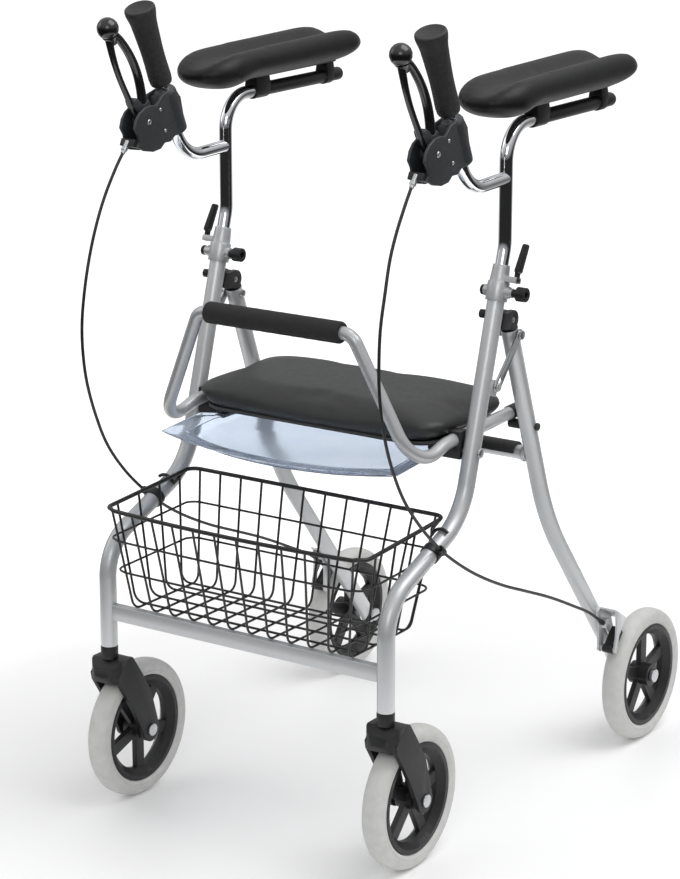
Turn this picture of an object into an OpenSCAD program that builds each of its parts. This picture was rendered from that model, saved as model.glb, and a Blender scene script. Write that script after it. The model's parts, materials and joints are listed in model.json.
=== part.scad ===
// Upright walker: forearm rollator with seat, tray, wire basket and two hand brakes.
// Millimetres. +Z is up, the walker rolls towards -Y, the user's left hand is on +X.
// The origin is on the floor under the middle of the walker's box.

/* [Frame] */
// Half the distance between the two side frames, to the tube axes
half_w = 231; // [231:1:236]
// Outside diameter of the frame tubes
tube_d = 24; // [23.8:0.1:24.2]
// Wall thickness of the frame tubes
tube_wall = 1.2; // [1.1:0.1:1.3]
// Height of the front crossbar's middle
front_bar_z = 292; // [284:1:292]

/* [Uprights] */
// Outside diameter of the chromed upright and hand tube
post_d = 18.5; // [18.4:0.1:18.5]
// Wall thickness of the chromed tubes
post_wall = 1.5; // [1.2:0.1:2]
// Height of the horizontal arm tube under the forearm pad
arm_z = 976; // [974:1:978]
// Diameter of the hand grip at its middle
grip_d = 32; // [30:1:35]
// Length of the hand grip
grip_len = 119; // [112:1:119]

/* [Wheels] */
// Diameter of all four wheels
wheel_d = 200; // [198:1:200]
// Width of the tyres
tyre_w = 32; // [29:1:32]
// Number of spokes in each rim
rim_spokes = 5; // [4:1:6]

/* [Seat] */
// Width of the seat cushion
seat_w = 414; // [404:1:414]
// Depth of the seat cushion, front to rear
seat_len = 204; // [196:1:204]
// Thickness of the seat cushion
seat_h = 43; // [36:1:44]
// Outside diameter of the seat hoop tube
hoop_d = 18; // [17:0.5:18]
// Diameter of the foam sleeve on the hoop
foam_d = 30; // [26:1:32]

/* [Basket] */
// Height of the basket's rim
basket_rim_z = 461; // [455:1:461]
// Wall thickness of the basket
basket_wall = 3; // [2:0.5:4]

/* [Hidden] */

$fn = 48;
W = half_w;
tr = tube_d / 2;
ti = tr - tube_wall;
pr = post_d / 2;
hr = 8.9;
fit = 0.05;
R = wheel_d / 2;

silver = [0.74, 0.75, 0.76];
chrome = [0.86, 0.87, 0.88];
black = [0.1, 0.1, 0.1];
grey = [0.25, 0.26, 0.27];
tyre_grey = [0.78, 0.78, 0.77];
blue = [0.66, 0.74, 0.88];

// Pivots, as [y, z]: frame hinge, seat pivot, stay top, stay foot, rest buffer, rear axle
P0 = [-65, 713];
P1 = [-148, 545];
P2 = [-51, 690];
P3 = [-108.4, 629.3];
P4 = [3, 548.4];
AX = [297.5, 100];
// Caster stem and caster wheel axle, as y
stem_y = -357;
cast_y = -297.5;
// Lean of the front leg's upper part, as y per z
lean = 73 / 249;

function un(v) = v / norm(v);
function turn(p, i) = let (a = un(p[i] - p[i - 1]), b = un(p[i + 1] - p[i])) acos(max(-1, min(1, a * b)));
function yz(p, x = 0) = [x, p[0], p[1]];
function leg_y(z) = -86 + (z - 757) * lean;
function fwd_z(y) = 459.6 + 0.4 * (y + 173);
function rear_y(z) = -54.7 + (700 - z) * 0.371;
function grip_y(z) = -215 - 0.431 * (z - 1012);

leg_pts = [[W, leg_y(765), 765], [W, -173, 459.6], [W, stem_y, 386], [W, stem_y, 241]];
rear_pts = [[W, rear_y(698), 698], [W, rear_y(399.3), 399.3], [W, 305.5, 90]];
leg_dir = un([0, lean, 1]);
rear_dir = un([0, -0.371, 1]);
post_pts = [[W, leg_y(565), 565], [W, leg_y(815), 815], [W, leg_y(815), arm_z], [W, 215, arm_z]];
hand_pts = [[W, leg_y(815) - 2, 906], [W, -168, 903], [W, grip_y(1108), 1108]];
grip_dir = un([0, -0.431, 1]);

module place(o, u, v, w) {
  multmatrix([[u[0], v[0], w[0], o[0]], [u[1], v[1], w[1], o[1]], [u[2], v[2], w[2], o[2]], [0, 0, 0, 1]]) children();
}
// Turns local z to the direction d, at o
module along(o, d) {
  w = un(d);
  h = abs(w[0]) < 0.9 ? [1, 0, 0] : [0, 1, 0];
  u = un(cross(h, w));
  place(o, u, cross(w, u), w) children();
}
// Extrudes a drawing made in (y, z) along x
module slab(x0, x1) {
  multmatrix([[0, 0, 1, x0], [1, 0, 0, 0], [0, 1, 0, 0], [0, 0, 0, 1]]) linear_extrude(x1 - x0) children();
}
module rod(a, b, r) { along(a, b - a) cylinder(h = norm(b - a), r = r); }
module xrod(p, x0, x1, r) { translate([x0, p[0], p[1]]) rotate([0, 90, 0]) cylinder(h = x1 - x0, r = r); }
module bend(p, br, i, r) {
  a = un(p[i] - p[i - 1]);
  b = un(p[i + 1] - p[i]);
  t = turn(p, i);
  n = un(cross(a, b));
  inw = cross(n, a);
  c = p[i] - a * br * tan(t / 2) + inw * br;
  place(c, -inw, cross(n, -inw), n) rotate_extrude(angle = t, $fn = 96) translate([br, 0]) circle(r = r);
}
// A round bar along points p, with a bend radius at each corner
module bar(p, br, r, ext = 0) {
  m = len(p);
  for (i = [0:m - 2]) let (
    d = un(p[i + 1] - p[i]),
    t0 = i == 0 ? -ext : br[i - 1] * tan(turn(p, i) / 2) - 0.4,
    t1 = i == m - 2 ? -ext : br[i] * tan(turn(p, i + 1) / 2) - 0.4)
    rod(p[i] + d * t0, p[i + 1] - d * t1, r + 0.02);
  for (i = [1:m - 2]) bend(p, br[i - 1], i, r);
}
module both() { children(); mirror([1, 0, 0]) children(); }
module right() { mirror([1, 0, 0]) children(); }

// ---------- front frame ----------
module front_leg() {
  difference() {
    bar(leg_pts, [95, 70], tr - 0.02);
    bar(leg_pts, [95, 70], ti - 0.02, 1);
    xrod(P1, W - 30, W + 30, 4.05);
  }
}
module front_leg_left() { color(silver) front_leg(); }
module front_leg_right() { color(silver) right() front_leg(); }
module front_crossbar() {
  color(silver) difference() {
    translate([-W, stem_y - 6, front_bar_z - 11]) cube([2 * W, 12, 22]);
    translate([-W - 1, stem_y - 4.6, front_bar_z - 9.6]) cube([2 * W + 2, 9.2, 19.2]);
    both() translate([W, stem_y, 200]) cylinder(h = 200, r = tr + fit);
  }
}
// Pivot of the clamp lever, beside the top of the clamp
cl_o = [W + 26, leg_y(772), 772];
// Split clamp at the top of each front leg: grips the leg below, guides the upright above
module collar() {
  o = [W, leg_y(755), 755];
  difference() {
    union() {
      along(o - leg_dir * 13, leg_dir) cylinder(h = 26, r = 15);
      along(o + leg_dir * 12, leg_dir) cylinder(h = 24, r1 = 13.4, r2 = 11.6);
      translate(o) rotate([0, 90, 0]) cylinder(h = 38, r = 8, center = true);
      translate(o) rotate([0, 90, 0]) translate([0, 0, 17]) cylinder(h = 7, r = 6.5);
      // Ear and pin that carry the clamp lever
      place(cl_o, [1, 0, 0], cross(leg_dir, [1, 0, 0]), leg_dir) {
        translate([-18, -7.4, -4]) cube([12, 14.8, 8]);
        for (v = [-7.4, 4.4]) translate([-8, v, -4]) cube([11, 3, 8]);
        rotate([90, 0, 0]) cylinder(h = 14, r = 2, center = true, $fn = 24);
      }
    }
    along(o - leg_dir * 20, leg_dir) cylinder(h = 80, r = pr + fit);
    along(o - leg_dir * 20, leg_dir) cylinder(h = 20 + 10.6, r = tr + fit);
  }
}
module clamp_collars() { color(silver) both() collar(); }
// Tightening knob on the +X end of each clamp and a round cap on the other end
module knob_set(x, lo, hi) {
  o = [x, leg_y(755), 755];
  color(black) {
    translate(o) rotate([0, 90, 0]) translate([0, 0, hi]) difference() {
      union() {
        cylinder(h = 8, r = 5.6);
        translate([0, 0, 7]) cylinder(h = 14, r = 9.8);
      }
      translate([0, 0, 13]) cylinder(h = 9, r = 4.6);
    }
    translate(o) rotate([0, 90, 0]) translate([0, 0, lo - 5]) cylinder(h = 5, r = 7);
  }
}
module clamp_knobs() {
  knob_set(W, -19.1, 24.1);
  knob_set(-W, -24.1, 19.1);
}
// Black knuckle saddled on the back of the front leg, with two cheeks for the hinge pin
module knuckle() {
  o = [W, leg_y(718), 718];
  back = cross([1, 0, 0], -leg_dir);
  difference() {
    union() {
      place(o, [1, 0, 0], -leg_dir, back) translate([-13, -11, 8]) cube([26, 22, 11.2]);
      for (x = [W - 13, W + 6.6]) {
        xrod(P0, x, x + 6.4, 13.5);
        slab(x, x + 6.4) polygon([[-80.9, 724.7], [P0[0] + 2, 726.3], [P0[0] - 5, 700.5], [-87.1, 703.5]]);
      }
    }
    along(o - leg_dir * 30, leg_dir) cylinder(h = 60, r = tr + fit);
    xrod(P0, W - 20, W + 20, 4 + fit);
  }
}
module hinge_knuckles() {
  color(black) {
    both() knuckle();
    // Round button beside each leg, on its -X side
    for (x = [-W, W]) xrod([leg_y(724), 724], x - tr - 8, x - tr - fit, 6);
  }
}
// Tab on each front leg with the pin that runs in the stay's slot
module stay_tab() {
  o = [W, leg_y(P3[1]), P3[1]];
  back = cross([1, 0, 0], -leg_dir);
  difference() {
    place(o, [1, 0, 0], -leg_dir, back) translate([5, -13, 4]) cube([7.4, 22, 16]);
    along(o - leg_dir * 30, leg_dir) cylinder(h = 60, r = tr + fit);
  }
  xrod(P3, W + 9, W + 16.6, 3);
  xrod(P3, W + 16.5, W + 18.5, 5.4);
}
module stay_tabs() { color(silver) both() stay_tab(); }
// Hinge pins and seat pivot bolts, with heads outside and nuts inside
module frame_bolts() {
  color(silver) both() {
    xrod(P0, W - 13.2, W + 13.2, 4);
    xrod(P1, 196.9, W + 12.4, 4);
    xrod(P1, W + 12.3, W + 15.5, 6.5);
    xrod(P1, 193.5, 197, 6.5);
  }
}
clip_o = [W, -248, fwd_z(-248)];
clip_dir = un([0, -1, -0.4]);
clip_hole = [W + 16, -248, 436];
clip_hole_dir = un([0, 72, -62]);
module clip() {
  difference() {
    union() {
      along(clip_o - clip_dir * 6, clip_dir) cylinder(h = 12, r = tr + 1.8);
      along(clip_hole - clip_hole_dir * 6, clip_hole_dir) cylinder(h = 12, r = 5.2);
    }
    along(clip_o - clip_dir * 16, clip_dir) cylinder(h = 32, r = tr + fit);
    along(clip_hole - clip_hole_dir * 16, clip_hole_dir) cylinder(h = 32, r = 3.4);
  }
}
module cable_clips() { color(black) both() clip(); }
// Collar and bush that carry the caster stem at the foot of each front leg
module socket() {
  translate([W, stem_y, 0]) rotate_extrude()
    polygon([[6.05, 222], [12.2, 222], [12.2, 240.9], [ti - fit, 240.9], [ti - fit, 275], [6.05, 275]]);
}
module caster_sockets() { color(black) both() socket(); }

// ---------- rear frame ----------
module rear_leg() {
  difference() {
    bar(rear_pts, [400], tr - 0.02);
    bar(rear_pts, [400], ti - 0.02, 1);
    xrod(AX, W - 30, W + 30, 6.05);
    xrod(P2, W - 30, W + 30, 3.05);
    xrod(P4, W - 30, W + 30, 3.05);
  }
}
module rear_leg_left() { color(silver) rear_leg(); }
module rear_leg_right() { color(silver) right() rear_leg(); }
bar_c = [rear_y(503), 503];
module rear_crossbar() {
  color(silver) difference() {
    xrod(bar_c, -W, W, 10);
    xrod(bar_c, -W - 1, W + 1, 8.8);
    both() along([W, rear_y(560), 560], -rear_dir) cylinder(h = 120, r = tr + fit);
  }
}
// Rubber saddles on the rear crossbar
module seat_rest_pads() {
  color(black) both() difference() {
    xrod(bar_c, 140, 206, 14.5);
    xrod(bar_c, 138, 208, 10 + fit);
    translate([130, bar_c[0] - 30, bar_c[1] - 30]) cube([90, 60, 30]);
  }
}
// Tongue of the frame hinge, plugged into the top of the rear leg
module hinge_plug() {
  t = [W, rear_y(698), 698];
  difference() {
    union() {
      along(t - rear_dir * 28, rear_dir) cylinder(h = 28.5, r = ti - fit);
      along(t + rear_dir * 0.05, rear_dir) cylinder(h = 1.6, r = tr);
      xrod(P0, W - 6.2, W + 6.2, 12.5);
      slab(W - 6.2, W + 6.2) polygon([[-54, 719], [-48, 710], [-44, 701], [-54, 697], [-66, 698.5], [-72, 703]]);
    }
    xrod(P0, W - 20, W + 20, 4 + fit);
    xrod(P2, W - 20, W + 20, 3.05);
  }
}
module hinge_plugs() { color(black) both() hinge_plug(); }
// Gusset plate with the brake pin, a hood over the shoe and the cable stop
brake_q = [204, 165.4];
cable_end = [W + 18, 203, 203.5];
module bracket() {
  difference() {
    union() {
      slab(W + 12.1, W + 15.1) polygon([[190, 224], [200, 229], [232, 209], [240, 188], [229, 177], [219, 193], [213, 198],
        [211, 166], [205, 158], [197, 162], [197, 200]]);
      slab(W + 12.1, W + 40) polygon([[198, 227], [200, 229], [232, 209], [231, 206]]);
      slab(W + 37, W + 40) polygon([[203, 224], [205, 226], [232, 209], [224, 197], [213, 184], [211, 166],
        [206, 159], [199, 163], [205, 185], [206, 205]]);
      xrod(brake_q, W + 12.1, W + 40, 3);
      translate([W + 15, 204.4, 196]) cube([7, 8, 13]);
    }
    along(cable_end + [0, 20, -13], [0, -20, 13]) cylinder(h = 60, r = 1.2, $fn = 24);
  }
}
module brake_brackets() { color(silver) both() bracket(); }
module rear_axles() {
  color(chrome) both() {
    xrod(AX, W - 13, W + 54, 6);
    xrod(AX, W - 19, W - 12.9, 10);
    xrod(AX, W + 12.2, W + 18.4, 9);
    xrod(AX, W + 52.6, W + 58.6, 10);
  }
}
// Buffers on the rear legs that carry the rear ends of the seat hoop
module rest_buffers() {
  color(black) both() {
    xrod(P4, 201, W - 12.2, 6.8);
    xrod(P4, W - 12.3, W + 12.3, 3);
    xrod(P4, W + 12.2, W + 16.5, 5.5);
  }
}
module stay_bolts() {
  color(silver) both() {
    xrod(P2, W - 15, W + 16.6, 3);
    xrod(P2, W + 16.5, W + 20, 6.4);
    xrod(P2, W - 16, W - 12.2, 5.5);
  }
}

// ---------- seat frame ----------
hoop_x = 208;
hoop_pts = [
  [hoop_x, 10, 566.6], [hoop_x, -180, 560.2], [hoop_x + 2, -256, 539], [125, -279, 719.5],
  [-125, -279, 719.5], [-hoop_x - 2, -256, 539], [-hoop_x, -180, 560.2], [-hoop_x, 10, 566.6]
];
module seat_hoop() {
  hb = [100, 48, 22, 22, 48, 100];
  color(silver) difference() {
    bar(hoop_pts, hb, hoop_d / 2 - 0.02);
    bar(hoop_pts, hb, hoop_d / 2 - 1.5, 1);
  }
}
module hoop_foam() {
  color(black) difference() {
    xrod([-279, 719.5], -110, 110, foam_d / 2);
    xrod([-279, 719.5], -120, 120, hoop_d / 2 + fit);
  }
}
module pivot_block() {
  difference() {
    translate([188, -158, 535]) cube([30.4, 20, 38]);
    translate([187, -159, 553.2]) cube([12, 22, 30]);
    rod([hoop_x, -200, 559.53], [hoop_x, -100, 562.9], hoop_d / 2 + fit);
    xrod(P1, 180, 230, 4 + fit);
    xrod(P1, 180, 197.4, 7.2);
  }
}
module seat_pivot_blocks() { color(black) both() pivot_block(); }
module seat_board() {
  color(black) translate([-196, -196, 553.4]) cube([392, 190, 6]);
}
seat_z = 559.6;
// Cushion: its lower part lies between the hoop's tubes, its upper part reaches over them
module seat_cushion() {
  c = 34;
  up = 18.4;
  color(black) {
    hull() for (x = [-1, 1], y = [-200 + c, -200 + seat_len - c])
      translate([x * (seat_w / 2 - 9 - c), y, seat_z]) cylinder(h = up + 0.6, r = c, $fn = 32);
    hull() for (x = [-1, 1], y = [-200 + c, -200 + seat_len - c])
      translate([x * (seat_w / 2 - c), y, seat_z + up]) {
        cylinder(h = seat_h - up - 12, r = c, $fn = 32);
        translate([0, 0, seat_h - up - 3]) cylinder(h = 3, r = c - 9, $fn = 32);
      }
  }
}
module hoop_end_caps() {
  color(black) both() along([hoop_x, 10.1, 566.6], [0, 190, 6.4]) difference() {
    translate([0, 0, -22]) cylinder(h = 25, r = 10.2);
    translate([0, 0, -23]) cylinder(h = 22.9, r = hoop_d / 2 + fit);
  }
}
module tray_runners() {
  color(black) both() difference() {
    translate([171, -164, 535]) cube([11, 118, 18.3]);
    translate([170, -170, 540.4]) cube([6.8, 130, 3.8]);
  }
}
// Pull-out tray: shallow bowl with a flat rim, its front edge bowed
function bow(x, w, y0, d) = y0 - d * (1 - (x / w) * (x / w));
module tray_outline(w, wr, ys, y0, d, yr) {
  polygon(concat(
    [[wr, yr], [wr, ys], [w, ys - 6]],
    [for (i = [0:16]) let (x = w * (1 - i / 8)) [x, bow(x, w, y0, d)]],
    [[-w, ys - 6], [-wr, ys], [-wr, yr]]));
}
module tray() {
  color(blue) difference() {
    union() {
      translate([0, 0, 541]) linear_extrude(2.5) tray_outline(195, 176, -176, -274, 44, -52);
      translate([0, 0, 526]) linear_extrude(16) tray_outline(170, 169, -176, -252, 40, -56);
    }
    translate([0, 0, 528.5]) linear_extrude(30) tray_outline(167, 166.5, -176, -249, 40, -59);
  }
}

// ---------- basket ----------
hook_o = [W, -223, fwd_z(-223)];
// Open-topped shell with the outline of the wire basket
module basket_form(g, top) {
  z1 = basket_rim_z + top;
  hull() {
    translate([-213 + g, -383 + g, z1 - 3]) cube([426 - 2 * g, 199 - 2 * g, 3]);
    translate([-192 + g, -366 + g, 306 + g]) cube([384 - 2 * g, 148 - 2 * g, 3]);
  }
}
module basket() {
  color(black) difference() {
    union() {
      basket_form(0, 2);
      translate([-213, -401, 0]) translate([0, 0, basket_rim_z - 4]) linear_extrude(6)
        polygon([[0, 22], [110, 6], [213, 3.5], [316, 6], [426, 22], [426, 30], [0, 30]]);
    }
    basket_form(basket_wall, 30);
  }
  // Hooks over the front legs
  color(black) both() difference() {
    union() {
      along(hook_o - clip_dir * 5, clip_dir) cylinder(h = 10, r = tr + 3);
      translate([208.5, hook_o[1] - 5, hook_o[2] + 1]) cube([11.1, 10, 10]);
    }
    along(hook_o - clip_dir * 20, clip_dir) cylinder(h = 40, r = tr + 0.5);
    translate([200, hook_o[1] - 30, hook_o[2] - 40]) cube([60, 60, 40]);
    translate([W + 3, hook_o[1] - 30, hook_o[2] - 40]) cube([60, 60, 80]);
  }
}

// ---------- stays ----------
// Flat strap on the outer side of the rear leg, with a slot at its foot for the pin on the front leg
module stay() {
  d = un([P3[0] - P2[0], P3[1] - P2[1]]);
  n = [-d[1], d[0]];
  s0 = P2 + d * 72.6;
  s1 = P2 + d * 83.1;
  x0 = W + 13.2;
  difference() {
    union() {
      xrod(P2, x0, x0 + 3, 8);
      slab(x0, x0 + 3) polygon([P2 + n * 5.6, P2 - n * 5.6, s0 - n * 7.6, s1 - n * 7.6, s1 + n * 7.6, s0 + n * 7.6]);
      xrod(s1, x0, x0 + 3, 7.6);
    }
    xrod(P2, x0 - 3, x0 + 6, 3.05);
    xrod(s0, x0 - 3, x0 + 6, 4.05);
    xrod(s1, x0 - 3, x0 + 6, 4.05);
    slab(x0 - 3, x0 + 6) polygon([s0 + n * 4.05, s0 - n * 4.05, s1 - n * 4.05, s1 + n * 4.05]);
  }
}
module stay_left() { color(silver) stay(); }
module stay_right() { color(silver) right() stay(); }

// ---------- wheels ----------
module tyre() {
  h = tyre_w / 2;
  rotate_extrude($fn = 96) polygon(concat(
    [[77.1, -h + 6], [77.1, h - 6], [81, h - 3]],
    [for (a = [0:15:90]) [R - 9 + 9 * sin(a), h - 9 + 9 * cos(a)]],
    [for (a = [90:15:180]) [R - 9 + 9 * sin(a), -h + 9 + 9 * cos(a)]],
    [[81, -h + 3]]));
}
// Spoked rim, turned so that its first spoke lies at the angle a; its hub reaches out to the height out
module rim(a, out = 13) {
  h = tyre_w / 2;
  rotate_extrude($fn = 96) polygon([
    [61, -4.5], [63, -6], [70.5, -h + 2], [77, -h + 2], [77, h - 2], [70.5, h - 2], [63, 6], [61, 4.5]]);
  difference() {
    union() {
      translate([0, 0, -13]) cylinder(h = 13 + out, r = 17);
      for (i = [0:rim_spokes - 1]) rotate(a + i * 360 / rim_spokes) translate([14.5, -8.5, -4]) cube([47.5, 17, 8]);
    }
    translate([0, 0, -20]) cylinder(h = 40, r = 6.05);
  }
}
module wheel_at(x, y) { translate([x, y, R]) rotate([0, 90, 0]) children(); }
rear_x = 264.5;
module rear_tyre_left() { color(tyre_grey) wheel_at(rear_x, AX[0]) tyre(); }
module rear_tyre_right() { color(tyre_grey) right() wheel_at(rear_x, AX[0]) tyre(); }
module rear_rim_left() { color(black) wheel_at(rear_x, AX[0]) rim(36, 18.5); }
module rear_rim_right() { color(black) right() wheel_at(rear_x, AX[0]) rim(36, 18.5); }
module front_tyre_left() { color(tyre_grey) wheel_at(W, cast_y) tyre(); }
module front_tyre_right() { color(tyre_grey) right() wheel_at(W, cast_y) tyre(); }
module front_rim_left() { color(black) wheel_at(W, cast_y) rim(28); }
module front_rim_right() { color(black) right() wheel_at(W, cast_y) rim(0); }

// ---------- casters ----------
fork_c = [cast_y, 100];
module fork() {
  difference() {
    union() {
      for (x = [W - 25.5, W + 19.5]) {
        xrod(fork_c, x, x + 6, 17.5);
        slab(x, x + 6) polygon([
          [-369, 199], [-356, 213], [-347, 221.4], [-337, 221.4], [-318, 194], [-297, 160], [-281, 106], [-297.5, 90],
          [-312, 92], [-336, 139], [-354, 168], [-367, 188]]);
      }
      intersection() {
        slab(W - 25.4, W + 25.4) polygon([[-372, 188], [-378, 198], [-375, 210], [-362, 221.5], [-338, 221.5], [-328, 212],
          [-334, 206], [-352, 203], [-364, 190]]);
        translate([W, -349, 150]) cylinder(h = 100, r = 30);
      }
    }
    xrod(fork_c, W - 40, W + 40, 6.05);
    translate([W, stem_y, 180]) cylinder(h = 60, r = 6.05);
  }
}
module caster_fork_left() { color(black) fork(); }
module caster_fork_right() { color(black) right() fork(); }
// Swivel stem and wheel axle of one caster
module pins() {
  translate([W, stem_y, 0]) {
    translate([0, 0, 196.5]) cylinder(h = 85, r = 6);
    translate([0, 0, 275.6]) cylinder(h = 6, r = 9);
  }
  xrod(fork_c, W - 26, W + 26, 6);
  xrod(fork_c, W + 25.6, W + 29, 9);
  xrod(fork_c, W - 29, W - 25.6, 9);
  for (s = [-1, 1]) xrod(fork_c, W + s * 16.3 - 3, W + s * 16.3 + 3, 8.5);
}
module caster_pins_left() { color(chrome) pins(); }
module caster_pins_right() { color(chrome) right() pins(); }

// ---------- arms ----------
module post() {
  pb = [60, 48];
  difference() {
    union() {
      bar(post_pts, pb, pr - 0.02);
      bar(hand_pts, [60], hr - 0.02);
    }
    bar(post_pts, pb, pr - post_wall, 1);
    bar([hand_pts[0] + [0, -4, 0], hand_pts[1], hand_pts[2]], [60], hr - post_wall, 1);
  }
}
module arm_post_left() { color(chrome) post(); }
module arm_post_right() { color(chrome) right() post(); }
grip_o = [W, grip_y(1012), 1012];
module grip() {
  g = grip_d / 2;
  L = grip_len;
  along(grip_o, grip_dir) rotate_extrude() polygon([
    [hr + fit, 0], [g - 1.5, 0], [g + 0.5, 3], [g, 20], [g - 0.5, 45], [g + 0.3, 70], [g + 0.5, 92],
    [g + 4, 106], [g + 6, L - 6], [g + 5, L - 2], [g + 1, L], [0, L], [0, L - 10], [hr + fit, L - 10]]);
}
module hand_grip_left() { color(black) grip(); }
module hand_grip_right() { color(black) right() grip(); }
// Lever pivot, as [y, z]
lev_p = [-262, 966];
module housing() {
  o = [W, grip_y(972), 972];
  difference() {
    union() {
      along(o - grip_dir * 31, grip_dir) cylinder(h = 66, r = 17);
      slab(W - 14, W + 14) polygon([
        [-300, 934], [-253, 924], [-227, 933], [-205, 939], [-190, 950], [-196, 996], [-214, 1001],
        [-232, 996], [-240, 976], [-268, 950], [-296, 950]]);
      for (x = [W - 14, W + 9.5]) slab(x, x + 4.5)
        polygon([[-296, 948], [-306, 960], [-292, 983], [-272, 991], [-238, 996], [-236, 972], [-262, 946]]);
    }
    along(o - grip_dir * 50, grip_dir) cylinder(h = 110, r = hr + fit);
    xrod(lev_p, W - 10, W + 10, 26);
    slab(W - 9.4, W + 9.4) polygon([[-310, 950.5], [-262, 950.5], [-243, 960], [-236, 1010], [-330, 1010]]);
  }
  xrod(lev_p, W - 12, W + 12, 4);
}
module brake_housing_left() { color(grey) housing(); }
module brake_housing_right() { color(grey) right() housing(); }
// Brake lever: hub, two bars that form a loop, ball at the end
ball_c = [-330, 1099];
module lever() {
  difference() {
    union() {
      xrod(lev_p, W - 8.8, W + 8.8, 11);
      rod(yz(lev_p, W) + [0, -8, 10], [W, -296, 1010], 6);
      rod([W, -296, 1010], [W, -318, 1050], 5);
      rod([W, -318, 1050], [W, -331, 1094], 5);
      rod(yz(lev_p, W) + [0, 4, 10], [W, -262, 1010], 6);
      rod([W, -262, 1010], [W, -286, 1056], 5.5);
      rod([W, -286, 1056], [W, -326, 1094], 5.5);
      translate([W, -296, 1010]) sphere(r = 6.05);
      translate([W, -318, 1050]) sphere(r = 5.05);
      translate([W, -262, 1010]) sphere(r = 6.05);
      translate([W, -286, 1056]) sphere(r = 5.55);
      translate(yz(ball_c, W)) sphere(r = 15);
    }
    xrod(lev_p, W - 20, W + 20, 4 + fit);
  }
}
module brake_lever_left() { color(black) lever(); }
module brake_lever_right() { color(black) right() lever(); }
// Forearm pad: rounded gutter cushion
pad_w = 50;
module pad() {
  difference() {
    hull() {
      translate([W, -98, 1000]) cylinder(h = 40, r = pad_w, $fn = 32);
      translate([W, -98, 1010]) cylinder(h = 22, r = pad_w + 2, $fn = 32);
      for (x = [-26, 26]) translate([W + x, 200, 1000]) cylinder(h = 50, r = 24, $fn = 32);
    }
    translate([W, -200, 1086]) rotate([-90, 0, 0]) cylinder(h = 500, r = 56, $fn = 64);
  }
}
module arm_pad_left() { color(black) pad(); }
module arm_pad_right() { color(black) right() pad(); }
// Plate under the pad with two saddles that clamp the arm tube
module pad_base() {
  difference() {
    union() {
      translate([W - 22, -10, 993.5]) cube([44, 205, 6]);
      translate([W - 13, -6, 963]) cube([26, 34, 31]);
      translate([W - 13, 172, 963]) cube([26, 20, 31]);
    }
    rod([W, -60, arm_z], [W, 240, arm_z], pr + fit + 0.02);
    translate([W - 20, -7, 950]) cube([40, 200, 20]);
  }
}
module pad_base_left() { color(black) pad_base(); }
module pad_base_right() { color(black) right() pad_base(); }

// Clamp lever: barrel on the ear's pin, flat handle above it
module clamp_lever() {
  place(cl_o, [1, 0, 0], cross(leg_dir, [1, 0, 0]), leg_dir) difference() {
    union() {
      rotate([90, 0, 0]) cylinder(h = 8, r = 4.4, center = true);
      translate([-2, -4, 0]) cube([4.6, 8, 15]);
      hull() {
        translate([1, 0, 13]) rotate([90, 0, 0]) cylinder(h = 11, r = 3.6, center = true, $fn = 24);
        translate([1, 9, 47]) rotate([90, 0, 0]) cylinder(h = 9, r = 3.2, center = true, $fn = 24);
      }
    }
    rotate([90, 0, 0]) cylinder(h = 20, r = 2 + fit, center = true, $fn = 24);
  }
}
module clamp_lever_left() { color(black) clamp_lever(); }
module clamp_lever_right() { color(black) right() clamp_lever(); }

// ---------- rear brakes ----------
module brake_arm() {
  difference() {
    union() {
      translate([W + 20.5, AX[0], AX[1]]) rotate([90, 0, 90]) rotate([0, 0, 127]) rotate_extrude(angle = 17.5, $fn = 96)
        translate([R + 3.5, 0]) square([13, 14]);
      xrod(brake_q, W + 20, W + 35, 6.4);
    }
    xrod(brake_q, W, W + 60, 3 + fit);
  }
}
module brake_arm_left() { color(black) brake_arm(); }
module brake_arm_right() { color(black) right() brake_arm(); }

// ---------- brake cables ----------
// Route of one cable from the hand brake through the clip to the rear brake
cable_r = 2.2;
route = [
  [231, -304, 928], [232, -319, 909], [233, -340, 878], [234, -357, 845], [236, -371, 805], [237, -383, 760],
  [239, -389, 712], [240, -388, 670], [241, -380, 625], [242, -362, 575], [244, -335, 525], [246, -295, 478],
  [247, -248, 436], [249, -200, 402], [250, -150, 373], [250, -90, 344], [250, -32, 320], [250, 40, 290],
  [250, 112, 256], [249, 160, 232], [249, 203, 203.5]
];
function cr(p0, p1, p2, p3, t) = 0.5 * (2 * p1 + (p2 - p0) * t + (2 * p0 - 5 * p1 + 4 * p2 - p3) * t * t + (3 * p1 - p0 - 3 * p2 + p3) * t * t * t);
function spline(p, n) = let (m = len(p)) concat(
  [for (i = [0:m - 2], k = [0:n - 1]) cr(p[max(i - 1, 0)], p[i], p[i + 1], p[min(i + 2, m - 1)], k / n)], [p[m - 1]]);
module sweep(c, r, s) {
  m = len(c);
  pts = [for (i = [0:m - 1]) let (
      d = un(c[min(i + 1, m - 1)] - c[max(i - 1, 0)]),
      u = un(cross(d, [1, 0.1, 0])), v = cross(d, u))
    for (k = [0:s - 1]) c[i] + r * (cos(360 * k / s) * u + sin(360 * k / s) * v)];
  faces = concat(
    [[for (k = [0:s - 1]) s - 1 - k]],
    [for (i = [0:m - 2], k = [0:s - 1]) let (a = i * s + k, b = i * s + (k + 1) % s) [a, b, b + s, a + s]],
    [[for (k = [0:s - 1]) (m - 1) * s + k]]);
  polyhedron(pts, faces, convexity = 6);
}
module cable() { sweep(spline(route, 3), cable_r, 8); }
module brake_cable_left() { color(black) cable(); }
module brake_cable_right() { color(black) right() cable(); }

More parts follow.
